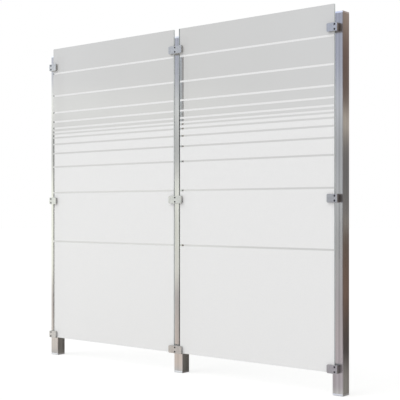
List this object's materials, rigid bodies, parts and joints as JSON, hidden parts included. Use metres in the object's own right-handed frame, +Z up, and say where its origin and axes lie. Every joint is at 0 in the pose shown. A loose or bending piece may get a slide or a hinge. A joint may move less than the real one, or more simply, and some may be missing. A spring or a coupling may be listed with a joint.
{
  "type": "glass privacy fence",
  "caption": "Straight glass privacy fence: striped clear and satin panes held in front of square steel posts by flat screw clamps with rubber pads.",
  "frame": {"origin": "centre of the middle post's flat foot face, at ground level", "axes": "+X along the fence to the right as seen from the glass side, +Y from the glass towards the posts, +Z up"},
  "size_m": [2.115, 0.09, 1.9135],
  "materials": {
    "post_steel": "fine brushed square tube, grain along the post",
    "cap_steel": "satin ground cap and foot block",
    "pane_glass": "toughened safety glass, clear above and satin etched below, with crossing stripes",
    "clamp_steel": "satin ground, with eased edges",
    "pad_rubber": "dull black moulded rubber",
    "screw_steel": "dark low-head socket screw"
  },
  "bodies": {
    "root": {"post_left": "post_steel", "post_middle": "post_steel", "post_right": "post_steel", "cap_left": "cap_steel", "cap_middle": "cap_steel", "cap_right": "cap_steel", "foot_left": "cap_steel", "foot_middle": "cap_steel", "foot_right": "cap_steel", "glass_left": "pane_glass", "glass_right": "pane_glass", "clamp_body_left_bottom": "clamp_steel", "clamp_body_left_centre": "clamp_steel", "clamp_body_left_top": "clamp_steel", "clamp_body_middle_bottom": "clamp_steel", "clamp_body_middle_centre": "clamp_steel", "clamp_body_middle_top": "clamp_steel", "clamp_body_right_bottom": "clamp_steel", "clamp_body_right_centre": "clamp_steel", "clamp_body_right_top": "clamp_steel", "clamp_plate_left_bottom": "clamp_steel", "clamp_plate_left_centre": "clamp_steel", "clamp_plate_left_top": "clamp_steel", "clamp_plate_middle_bottom": "clamp_steel", "clamp_plate_middle_centre": "clamp_steel", "clamp_plate_middle_top": "clamp_steel", "clamp_plate_right_bottom": "clamp_steel", "clamp_plate_right_centre": "clamp_steel", "clamp_plate_right_top": "clamp_steel", "clamp_pads_left_bottom": "pad_rubber", "clamp_pads_left_centre": "pad_rubber", "clamp_pads_left_top": "pad_rubber", "clamp_pads_middle_bottom": "pad_rubber", "clamp_pads_middle_centre": "pad_rubber", "clamp_pads_middle_top": "pad_rubber", "clamp_pads_right_bottom": "pad_rubber", "clamp_pads_right_centre": "pad_rubber", "clamp_pads_right_top": "pad_rubber", "screws_left": "screw_steel", "screws_middle": "screw_steel", "screws_right": "screw_steel"}
  },
  "joints": []
}
